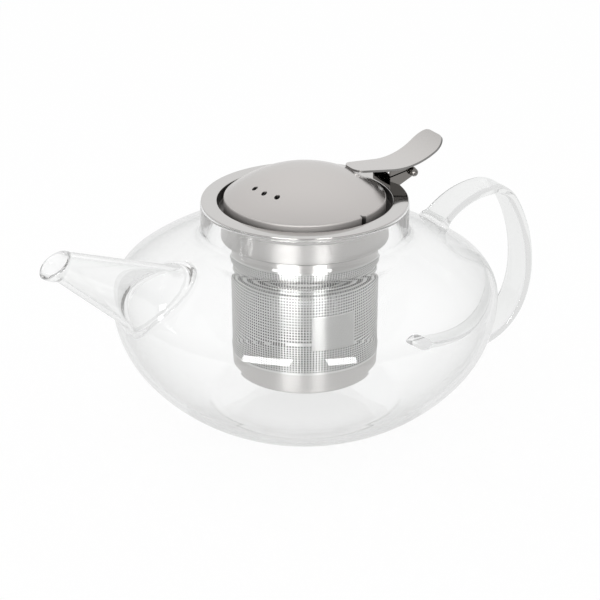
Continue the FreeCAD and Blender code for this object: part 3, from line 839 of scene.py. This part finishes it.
    def dress(self, effects: Effects) -> None:
        """Give the glass its finish and its place on the pot.

        Args:
            effects: the shared node groups.
        """
        self.piece.data.materials.clear()
        # The grey tints of the strap glass and the weld glass are painted shade, standing for the grey that
        # the thick handle and the swollen welds take from refraction.
        for finish in (GlassFinish("clear_glass", (0.998, 1.0, 0.999), (0.22, 0.23, 0.225), spread=2.8),
                       GlassFinish("spout_glass", (0.985, 0.988, 0.986), (0.52, 0.53, 0.525), spread=2.2,
                                   tinted_depth=4.5, deepest=7.5, passed=0.84),
                       GlassFinish("strap_glass_painted_shade", (0.87, 0.875, 0.87), (0.66, 0.67, 0.665),
                                   tinted_depth=6.5, deepest=7.5, passed=0.80),
                       GlassFinish("weld_glass_painted_shade", (0.76, 0.765, 0.76), (0.62, 0.63, 0.625),
                                   tinted_depth=6.5, deepest=7.5, passed=0.86)):
            self.piece.data.materials.append(finish.material(effects))
        centres = face_centres(self.piece.data)
        profile = self.outer_profile()[::-1]
        wall = np.interp(centres[:, 2], profile[:, 1], profile[:, 0])
        clearance = np.hypot(centres[:, 0], centres[:, 1]) - wall
        # Faces just off the bowl take the weld glass's painted shade, farther ones the spout glass or the
        # strap glass's painted shade.
        bowl_or_weld_shade = np.where(clearance > self.weld_foot, 3, 0)
        spout_or_strap = np.where(centres[:, 0] < 0.0, 1, 2)
        assign(self.piece.data, np.where(clearance > self.weld_band, spout_or_strap, bowl_or_weld_shade))
        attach(self.piece, "pot")
        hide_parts("pot_body", "spout", "handle")


@dataclass
class Strainer:
    """Perforated tube of the infuser, with a groove round it and a bare panel on its near side."""

    radius: float = 28.8
    gauge: float = 0.5
    bottom: float = 24.5
    field_bottom: float = 25.4
    pitch: float = 1.17
    shoulder: float = 57.8
    groove_radius: float = 26.9
    groove_height: float = 60.3
    groove_top: float = 62.8
    groove_rounds: tuple[float, ...] = (0.0, 2.0, 2.4, 2.0, 0.0)
    joggle_bottom: float = 67.5
    neck_radius: float = 28.35
    neck_bottom: float = 68.3
    neck_top: float = 73.9
    columns: int = 162
    rows: int = 36
    hole_share: float = 0.56
    panel_angles: tuple[float, float] = (-115.0, -80.0)
    panel_heights: tuple[float, float] = (36.6, 49.6)
    sharp: float = 30.0
    piece: bpy.types.Object | None = field(default=None, init=False)

    def build(self) -> None:
        """Outer and inner sheets on one grid, holes left out of both and walled.

        Grid lines run at both edges of every hole: t = (c +- share / 2) 2 pi / columns and
        z = z0 + (k + 1/2 +- share / 2) pitch, out to the rounded groove's radius there.
        """
        edges = np.array([-0.5, 0.5]) * self.hole_share
        angles = ((np.arange(self.columns)[:, None] + edges) * 2 * math.pi / self.columns).ravel()
        heights = (self.field_bottom + (np.arange(self.rows)[:, None] + 0.5 + edges) * self.pitch).ravel()
        corners = np.array([[self.radius, self.bottom], [self.radius, self.shoulder],
                            [self.groove_radius, self.groove_height], [self.radius, self.groove_top],
                            [self.radius, self.joggle_bottom]])
        curve = rounded(corners, self.groove_rounds, 12)
        profile = np.concatenate([[[self.radius, self.bottom]],
                                  np.stack([np.interp(heights, curve[:, 1], curve[:, 0]), heights], axis=1),
                                  [[self.radius, self.joggle_bottom], [self.neck_radius, self.neck_bottom],
                                   [self.neck_radius, self.neck_top]]])
        lines, columns = len(profile), len(angles)
        outside = about_axis(profile, angles)
        inside = about_axis(profile - np.array([self.gauge, 0.0]), angles)
        points = np.concatenate([outside.reshape(-1, 3), inside.reshape(-1, 3)])
        quads = grid_quads(lines, columns).reshape(lines - 1, columns, 4)
        holes = np.zeros((lines - 1, columns), bool)
        holes[1:1 + 2 * self.rows:2, 0::2] = True
        turn = np.degrees((angles + math.pi) % (2 * math.pi) - math.pi)
        bare_turn = (turn > self.panel_angles[0]) & (turn < self.panel_angles[1])
        middle = (profile[:-1, 1] + profile[1:, 1]) / 2
        bare_height = (middle > self.panel_heights[0]) & (middle < self.panel_heights[1])
        panel = bare_height[:, None] & bare_turn[None, :]
        holes &= ~panel
        count = lines * columns
        plain, gap = quads[~holes], quads[holes]
        rims = [(gap[:, side], gap[:, (side + 1) % 4]) for side in range(4)]
        around = np.arange(columns)
        rims += [(start + around, start + (around + 1) % columns) for start in (0, (lines - 1) * columns)]
        walls = [np.stack([one, two, two + count, one + count], axis=1) for one, two in rims]
        self.piece = make_piece("strainer_sheet", points, [plain, plain[:, ::-1] + count] + walls,
                                self.sharp)
        # Finish 1, on the inner sheet and the walls of the holes, is a dark painted shade of the tube's
        # inside.
        kinds = np.ones(len(self.piece.data.polygons), np.int32)
        kinds[:len(plain)] = np.where(panel[~holes], 2, 0)
        assign(self.piece.data, kinds)

    def dress(self, effects: Effects) -> None:
        """Give the sheet its finishes outside and on the panel, painted shade inside, and its place on the
        infuser.

        Args:
            effects: the shared node groups.
        """
        # The second finish is painted shade: dark inside the tube and in its holes.
        for finish in (SteelFinish("strainer_steel", (0.66, 0.66, 0.65), 0.30, Grain.PLAIN, 0.01, 0.04, 1.0),
                       SteelFinish("strainer_inside_painted_shade", (0.26, 0.26, 0.255), 0.4, Grain.PLAIN, 0.01, 0.04),
                       SteelFinish("panel_steel", (0.56, 0.56, 0.55), 0.38, Grain.PLAIN, 0.01, 0.04, 1.0)):
            self.piece.data.materials.append(finish.material(effects))
        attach(self.piece, "infuser")
        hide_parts("strainer_tube")


@dataclass
class InfuserBody:
    """Ring, collar and cup of the infuser."""

    ring_radius: float = 40.2
    ring_top: float = 88.0
    ring_gauge: float = 0.8
    mouth_radius: float = 34.0
    ledge_top: float = 83.6
    ledge_radius: float = 30.6
    ring_rounds: tuple[float, ...] = (0.0, 0.3, 0.38, 0.5, 0.5, 0.15, 0.15, 0.6, 0.0)
    ring_segments: int = 320
    # Below this depth under the ring's top, the ring's inner step takes painted shade.
    groove_shade_depth: float = 0.6
    groove_shade_margin: float = 0.02
    collar_radius: float = 33.7
    collar_gauge: float = 0.6
    collar_floor: float = 74.4
    collar_edge: float = 1.0
    rim_shade_height: float = 0.45
    rim_shade_margin: float = 0.1
    lip_radius: float = 29.05
    lip_bottom: float = 68.8
    lip_round: float = 0.3
    cup_radius: float = 28.8
    cup_gauge: float = 0.5
    cup_bottom: float = 17.0
    cup_top: float = 24.5
    cup_corner: float = 1.6
    segments: int = 256
    pieces: dict[str, bpy.types.Object] = field(default_factory=dict, init=False)

    def build(self) -> None:
        """Turn the three pieces from rounded profiles."""
        gauge = self.ring_gauge
        under = self.ledge_top - gauge
        step = self.mouth_radius + gauge
        ring = rounded(np.array([
            [step, self.ring_top - gauge], [self.ring_radius, self.ring_top - gauge],
            [self.ring_radius, self.ring_top], [self.mouth_radius, self.ring_top],
            [self.mouth_radius, self.ledge_top], [self.ledge_radius, self.ledge_top],
            [self.ledge_radius, under], [step, under], [step, self.ring_top - gauge]]),
            self.ring_rounds)
        self.pieces["infuser_ring"] = turn_loop("ring_skin", ring[:-1], self.ring_segments)
        wall = self.collar_gauge
        outer = rounded(np.array([
            [self.collar_radius, under], [self.collar_radius, self.collar_floor],
            [self.lip_radius, self.collar_floor], [self.lip_radius, self.lip_bottom]]),
            (0.0, self.collar_edge, self.lip_round, 0.0), 10)
        inner = rounded(np.array([
            [self.lip_radius - wall, self.lip_bottom], [self.lip_radius - wall, self.collar_floor + wall],
            [self.collar_radius - wall, self.collar_floor + wall], [self.collar_radius - wall, under]]),
            (0.0, self.lip_round + wall, self.collar_edge - wall, 0.0), 10)
        collar = np.concatenate([outer, inner])
        self.pieces["infuser_collar"] = turn_loop("collar_skin", collar, self.segments)
        sheet = self.cup_gauge
        cup = rounded(np.array([
            [0.0, self.cup_bottom], [self.cup_radius, self.cup_bottom], [self.cup_radius, self.cup_top],
            [self.cup_radius - sheet, self.cup_top], [self.cup_radius - sheet, self.cup_bottom + sheet],
            [0.0, self.cup_bottom + sheet]]),
            (0.0, self.cup_corner, 0.0, 0.0, self.cup_corner - sheet, 0.0), 8)
        self.pieces["strainer_cup"] = turn_solid("cup_skin", cup, self.segments)

    def dress(self, effects: Effects) -> None:
        """Give each piece its finish and its place on the infuser.

        Args:
            effects: the shared node groups.
        """
        satin = SteelFinish("ring_steel", (0.51, 0.50, 0.49), 0.08, Grain.SPUN, 0.01, 0.03).material(effects)
        # The near-black colour here is painted shade, standing for the shadowed gap between the lid's edge
        # and the ring's inner step.
        groove = SteelFinish("groove_painted_shade", (0.10, 0.095, 0.09), 0.35, Grain.SPUN).material(effects)
        bright = SteelFinish("collar_steel", (0.54, 0.53, 0.52), 0.33, Grain.PLAIN, 0.01, 0.04, 0.95)
        bright = bright.material(effects)
        # The dark colour here is painted shade along the collar's lower edge, where it overhangs the
        # strainer's lip.
        painted_rim_shade = SteelFinish("collar_rim_painted_shade", (0.20, 0.195, 0.19), 0.3, Grain.SPUN).material(effects)
        slots = {"infuser_ring": (satin, "satin_steel"), "infuser_collar": (bright, "bright_steel"),
                 "strainer_cup": (bright, "bright_steel")}
        for node, piece in self.pieces.items():
            piece.data.materials.append(slots[node][0])
            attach(piece, "infuser")
            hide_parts(node)
        # Outer faces of the collar near its floor, outside the lip, take the painted shade.
        collar = self.pieces["infuser_collar"].data
        collar.materials.append(painted_rim_shade)
        centres = face_centres(collar)
        outside = np.hypot(centres[:, 0], centres[:, 1]) > self.lip_radius + self.rim_shade_margin
        assign(collar, outside & (centres[:, 2] < self.collar_floor + self.rim_shade_height))
        # Faces of the ring's inner step below its top take the painted shade.
        ring = self.pieces["infuser_ring"].data
        ring.materials.append(groove)
        centres = face_centres(ring)
        inside = np.hypot(centres[:, 0], centres[:, 1]) < self.mouth_radius + self.groove_shade_margin
        assign(ring, inside & (centres[:, 2] < self.ring_top - self.groove_shade_depth))


@dataclass
class Lid:
    """Domed lid with its vents and its nick, the thumb lever on it and the tops of the hinge's ears."""

    radius: float = 31.4
    apex: float = 100.6
    dome_radius: float = 48.94
    gauge: float = 0.7
    rim_bottom: float = 83.9
    skirt_top: float = 89.7
    edge_round: float = 0.8
    skirt_margin: float = 0.2
    segments: int = 256
    sharp: float = 30.0
    vent_circle: float = 21.2
    vent_bearings: tuple[float, float, float] = (-3.4, 13.6, 30.6)
    vent_radius: float = 1.1
    vent_sides: int = 32
    nick_x: float = 9.3
    nick_width: float = 4.6
    nick_depth: float = 1.4
    cut_past: float = 6.0
    cut_margin: float = 0.03
    lever_gauge: float = 0.9
    lever_front: float = 20.0
    lever_front_width: float = 10.6
    lever_tip_width: float = 17.4
    lever_dip: tuple[float, float] = (38.6, 94.3)
    lever_bend: float = 29.0
    lever_front_slope: float = 6.5
    lever_tip_slope: float = 48.0
    lever_corner: float = 5.2
    lever_nose: float = 3.6
    lever_columns: int = 25
    ear_inside: float = 5.5
    ear_outside: float = 6.4
    ear_outline: tuple[tuple[float, float], ...] = ((35.0, 91.8), (43.8, 93.4), (44.9, 93.6), (44.9, 94.4),
                                                    (43.8, 94.5), (38.6, 94.05), (35.0, 94.2))
    ears: bpy.types.Object | None = field(default=None, init=False)
    pieces: dict[str, bpy.types.Object] = field(default_factory=dict, init=False)

    def dome(self) -> bpy.types.Object:
        """Cap of a sphere, rounded over into its skirt, its vents and its nick cut through.

        The rounding is an arc of radius e about (R - e, c + h), tangent to the sphere
        from inside: h^2 + (R - e)^2 = (B - e)^2.

        Returns:
            The dome.
        """
        centre = self.apex - self.dome_radius
        ball, ease = self.dome_radius, self.edge_round
        turn_in = math.asin((self.radius - ease) / (ball - ease))
        lean = np.linspace(0.0, turn_in, 40)
        outer = np.stack([ball * np.sin(lean), centre + ball * np.cos(lean)], axis=1)
        bend = np.linspace(turn_in, math.pi / 2, 14)[1:]
        hem = centre + (ball - ease) * math.cos(turn_in)
        edge = np.stack([self.radius - ease + ease * np.sin(bend), hem + ease * np.cos(bend)], axis=1)
        edge = np.concatenate([edge, [[self.radius, self.rim_bottom]]])
        thin = ball - self.gauge
        inner_lean = np.linspace(math.asin((self.radius - self.gauge) / thin), 0.0, 40)
        inner = np.stack([thin * np.sin(inner_lean), centre + thin * np.cos(inner_lean)], axis=1)
        skirt = np.array([[self.radius - self.gauge, self.rim_bottom]])
        dome = turn_solid("lid_dome", np.concatenate([outer, edge, skirt, inner]), self.segments)
        heights = self.rim_bottom - self.cut_past, self.apex + self.cut_past
        angles = circle(self.vent_sides)
        drill = self.vent_radius * np.stack([np.cos(angles), np.sin(angles)], axis=1)
        for bearing in np.radians(self.vent_bearings):
            place = -self.vent_circle * np.array([np.cos(bearing), np.sin(bearing)])
            carve(dome, prism("vent_form", place + drill, heights), Carve.REMOVE)
        near, far = self.nick_x - self.nick_width / 2, self.nick_x + self.nick_width / 2
        back, front = self.nick_depth - self.radius, -self.radius - self.cut_past
        nick = np.array([[near, front], [far, front], [far, back], [near, back]])
        carve(dome, prism("nick_form", nick, heights), Carve.REMOVE)
        smooth(dome, self.sharp)
        return dome

    def lever(self) -> bpy.types.Object:
        """Bent strip: centre line of a straight front and one arc, half-width growing to a round tip.

        At each end the half-width drops by c - sqrt(c^2 - (c - run)^2), a corner of radius c.

        Returns:
            The lever.
        """
        front, tip = math.radians(self.lever_front_slope), math.radians(self.lever_tip_slope)
        middle = self.lever_bend - self.lever_gauge / 2
        centre_x, centre_z = self.lever_dip[0], self.lever_dip[1] + self.lever_bend
        lean = np.linspace(-front, tip, 60)
        bend = np.stack([centre_x + middle * np.sin(lean), centre_z - middle * np.cos(lean)], axis=1)
        run = self.lever_front + (bend[0, 0] - self.lever_front) * np.linspace(0.0, 1.0, 30)[:-1] ** 1.6
        straight = np.stack([run, bend[0, 1] + (bend[0, 0] - run) * math.tan(front)], axis=1)
        line = np.concatenate([straight, bend])
        share = (line[:, 0] - line[0, 0]) / (line[-1, 0] - line[0, 0])
        half = (self.lever_front_width + (self.lever_tip_width - self.lever_front_width) * share) / 2
        ends = (self.lever_corner, line[-1, 0] - line[:, 0]), (self.lever_nose, line[:, 0] - line[0, 0])
        for corner, run in ends:
            short = corner - np.clip(run, 0.0, corner)
            half = half - corner + np.sqrt(np.maximum(corner**2 - short**2, 0))
        across = np.linspace(-1.0, 1.0, self.lever_columns)
        across = np.concatenate([across, across[::-1]])
        thick = np.repeat([0.5, -0.5], self.lever_columns) * self.lever_gauge
        return tube_solid("lever_blade", ribbon(line, half[:, None] * across, thick))

    def cheeks(self) -> bpy.types.Object:
        """Upper edges of the bracket's two ears, up to just under the lever.

        Returns:
            Both plates, as one piece.
        """
        outline = np.array(self.ear_outline)
        count = len(outline)
        sides = (-self.ear_outside, -self.ear_inside, self.ear_inside, self.ear_outside)
        points = np.concatenate([np.insert(outline, 1, side, axis=1) for side in sides])
        ring = np.arange(count)
        ahead = (ring + 1) % count
        walls = np.stack([ring, ring + count, ahead + count, ahead], axis=1)
        ends = [ring[None, :], ring[None, ::-1] + count]
        faces = [walls, walls + 2 * count] + ends + [end + 2 * count for end in ends]
        return make_piece("ear_cheeks", points, faces)

    def build(self) -> None:
        """Make the dome, the lever and the tops of the bracket's ears."""
        self.pieces["lid"] = self.dome()
        self.pieces["thumb_lever"] = self.lever()
        self.ears = self.cheeks()

    def dress(self, effects: Effects, nodes: dict[str, bpy.types.Object]) -> None:
        """Give the lid, the lever and the hinge their finishes, some of them painted shade.

        Args:
            effects: the shared node groups.
            nodes: the CAD nodes.
        """
        satin = SteelFinish("lid_steel", (0.50, 0.48, 0.467), 0.22, Grain.SPUN).material(effects)
        hem = SteelFinish("hem_steel", (0.52, 0.50, 0.487), 0.6, Grain.SPUN).material(effects)
        lever = SteelFinish("lever_steel", (0.51, 0.495, 0.483), 0.15, Grain.STRAIGHT).material(effects)
        # The near-black colour here is painted shade of the cavity under the lever, on the ear tops, barrel,
        # bracket and pin.
        hinge = SteelFinish("hinge_painted_shade", (0.20, 0.19, 0.18), 0.12, Grain.PLAIN).material(effects)
        # The dark colour here is painted shade: on the lever's side edges and ends for the dark gap along
        # them, on the nick's cut faces for the shade inside the nick.
        painted_edge_shade = SteelFinish("edge_painted_shade", (0.24, 0.235, 0.23), 0.3, Grain.PLAIN).material(effects)
        for node, material in (("lid", satin), ("thumb_lever", lever)):
            piece = self.pieces[node]
            piece.data.materials.clear()
            piece.data.materials.append(material)
            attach(piece, "lid_unit")
            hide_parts(node)
        dome = self.pieces["lid"].data
        dome.materials.append(hem)
        dome.materials.append(painted_edge_shade)
        centres = face_centres(dome)
        reach = np.hypot(centres[:, 0], centres[:, 1])
        skirt = (reach > self.radius - self.edge_round + self.skirt_margin) & (centres[:, 2] < self.skirt_top)
        # The nick's cut faces take the painted shade.
        notch = np.abs(centres[:, 0] - self.nick_x) < self.nick_width / 2 + self.cut_margin
        notch &= centres[:, 1] < self.nick_depth - self.radius + self.cut_margin
        assign(dome, np.where(notch, 2, skirt))
        # The lever's side edges and both end faces take the painted shade.
        blade = self.pieces["thumb_lever"].data
        blade.materials.append(painted_edge_shade)
        number = np.arange(len(blade.polygons))
        sides = 2 * self.lever_columns
        edges = np.isin(number % sides, (self.lever_columns - 1, sides - 1))
        assign(blade, edges | (number >= len(number) - 2 * sides))
        # The ear tops take the hinge's painted shade.
        self.ears.data.materials.append(hinge)
        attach(self.ears, "infuser")
        for node in ("hinge_barrel", "hinge_bracket", "hinge_pin"):
            nodes[node].data.materials.clear()
            nodes[node].data.materials.append(hinge)


@dataclass(frozen=True)
class SoftBox:
    """Soft rectangular lamp that faces the pot."""

    name: str
    azimuth: float
    elevation: float
    distance: float
    width: float
    height: float
    radiance: float
    card: bool

    def lamp(self) -> bpy.types.Object:
        """Make the lamp, of power pi radiance area.

        A card only shows in what mirrors or refracts it; another lamp only lights.

        Returns:
            The lamp, not seen by the camera itself.
        """
        light = bpy.data.lights.new(self.name, "AREA")
        light.shape = "RECTANGLE"
        light.size, light.size_y = self.width, self.height
        light.energy = math.pi * self.radiance * self.width * self.height
        lamp = bpy.data.objects.new(self.name, light)
        turn, lift = math.radians(self.azimuth), math.radians(self.elevation)
        lamp.location = (self.distance * math.cos(lift) * math.cos(turn),
                         self.distance * math.cos(lift) * math.sin(turn), self.distance * math.sin(lift))
        lamp.rotation_euler = (math.pi / 2 - lift, 0.0, turn + math.pi / 2)
        lamp.visible_camera = False
        lamp.visible_transmission = self.card
        lamp.visible_glossy = self.card
        lamp.visible_diffuse = not self.card
        return lamp


@dataclass
class Studio:
    """Camera, pale floor, white background and soft light."""

    camera_place: tuple[float, float, float] = (-0.325, -0.5629, 0.3466)
    camera_turn: tuple[float, float, float] = (65.08, 0.0, -30.0)
    lens: float = 108.4
    shift: float = -0.008
    floor_drop: float = 0.0004
    floor_reach: float = 3.0
    floor_white: float = 0.9
    sky_even: float = 0.54
    sky_rise: float = 0.54
    sky_behind: float = 0.40
    sky_heading: tuple[float, float] = (0.5, 0.866)
    sky_least: float = 0.40
    panels: tuple[SoftBox, ...] = (
        SoftBox("overhead", -150.0, 78.0, 1.3, 1.4, 1.4, 0.5, False),
        SoftBox("left_card", -141.4, 23.0, 1.05, 0.47, 0.36, 10.0, True),
        SoftBox("right_card", -99.5, 23.0, 1.05, 0.28, 0.36, 10.0, True),
    )

    def build(self) -> None:
        """Set up the studio."""
        scene = bpy.context.scene
        scene.view_settings.view_transform = "Standard"
        eye = bpy.data.cameras.new("camera")
        eye.lens, eye.shift_x = self.lens, self.shift
        camera = bpy.data.objects.new("camera", eye)
        camera.location = self.camera_place
        camera.rotation_euler = [math.radians(angle) for angle in self.camera_turn]
        scene.collection.objects.link(camera)
        scene.camera = camera
        self._floor()
        self._world(scene)
        self._lamps(scene)

    def _floor(self) -> None:
        """Wide pale floor just under the base, partly the white background to rays that look at it."""
        corners = np.array([[-1, -1], [1, -1], [1, 1], [-1, 1]]) * self.floor_reach / MM
        corners = np.insert(corners, 2, -self.floor_drop / MM, axis=1)
        floor = make_piece("floor", corners, [np.array([[0, 1, 2, 3]])])
        material, sheet, paper = new_material("floor_paper")
        place = sheet.add("TexCoord").outputs["Object"]
        fibre = sheet.add("TexNoise", Scale=40.0, Detail=2.0, Vector=place)
        shade = sheet.add("ValToRGB")
        shade.color_ramp.elements[0].color = (0.93, 0.93, 0.93, 1.0)
        shade.color_ramp.elements[1].color = (0.95, 0.95, 0.95, 1.0)
        sheet.feed(shade.inputs[0], fibre.outputs[0])
        sheet.put(paper, Base_Color=shade.outputs[0], Roughness=0.9, Specular_IOR_Level=0.0)
        path = sheet.add("LightPath").outputs
        through = sheet.math("MAXIMUM", path["Is Glossy Ray"], path["Is Transmission Ray"])
        looks = sheet.math("MAXIMUM", path["Is Camera Ray"], through)
        white = sheet.add("Emission", Color=(1.0, 1.0, 1.0, 1.0), Strength=1.0)
        sheet.blend(sheet.math("MULTIPLY", looks, self.floor_white), paper, white)
        floor.data.materials.append(material)
        floor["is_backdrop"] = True

    def _world(self, scene: bpy.types.Scene) -> None:
        """Soft studio, bright overhead and behind the object and dimmer on the camera's side.

        The level is max(least, even + rise Z + behind (a X + b Y)), with (a, b) the way the camera looks.

        Args:
            scene: the scene.
        """
        world = bpy.data.worlds.new("studio")
        world.use_nodes = True
        scene.world = world
        sheet = NodeSheet(world.node_tree)
        place = sheet.add("TexCoord").outputs["Generated"]
        split = sheet.add("SeparateXYZ", Vector=place).outputs
        away = [self.sky_behind * share for share in self.sky_heading]
        behind = sheet.math("ADD", sheet.math("MULTIPLY", split["X"], away[0]),
                            sheet.math("MULTIPLY", split["Y"], away[1]))
        rise = sheet.math("MULTIPLY", split["Z"], self.sky_rise)
        level = sheet.math("ADD", sheet.math("ADD", behind, rise), self.sky_even)
        sheet.put(world.node_tree.nodes["Background"], Color=(1.0, 1.0, 1.0, 1.0),
                  Strength=sheet.math("MAXIMUM", level, self.sky_least))

    def _lamps(self, scene: bpy.types.Scene) -> None:
        """One large soft lamp overhead and two bright cards beside the camera."""
        for panel in self.panels:
            scene.collection.objects.link(panel.lamp())


def main() -> None:
    """Build and dress each sub-assembly, then the studio."""
    logging.basicConfig(level=logging.INFO, format="%(message)s")
    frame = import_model()
    effects = Effects()
    pot, strainer, body, lid = GlassPot(), Strainer(), InfuserBody(), Lid()
    for part in (pot, strainer, body, lid):
        part.build()
        LOG.info("built %s", type(part).__name__)
    for part in (pot, strainer, body):
        part.dress(effects)
    lid.dress(effects, frame["nodes"])
    Studio().build()
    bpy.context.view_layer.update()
    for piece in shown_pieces():
        LOG.info("%s: %d faces", piece.name, len(piece.data.polygons))


if __name__ == "__main__":
    main()
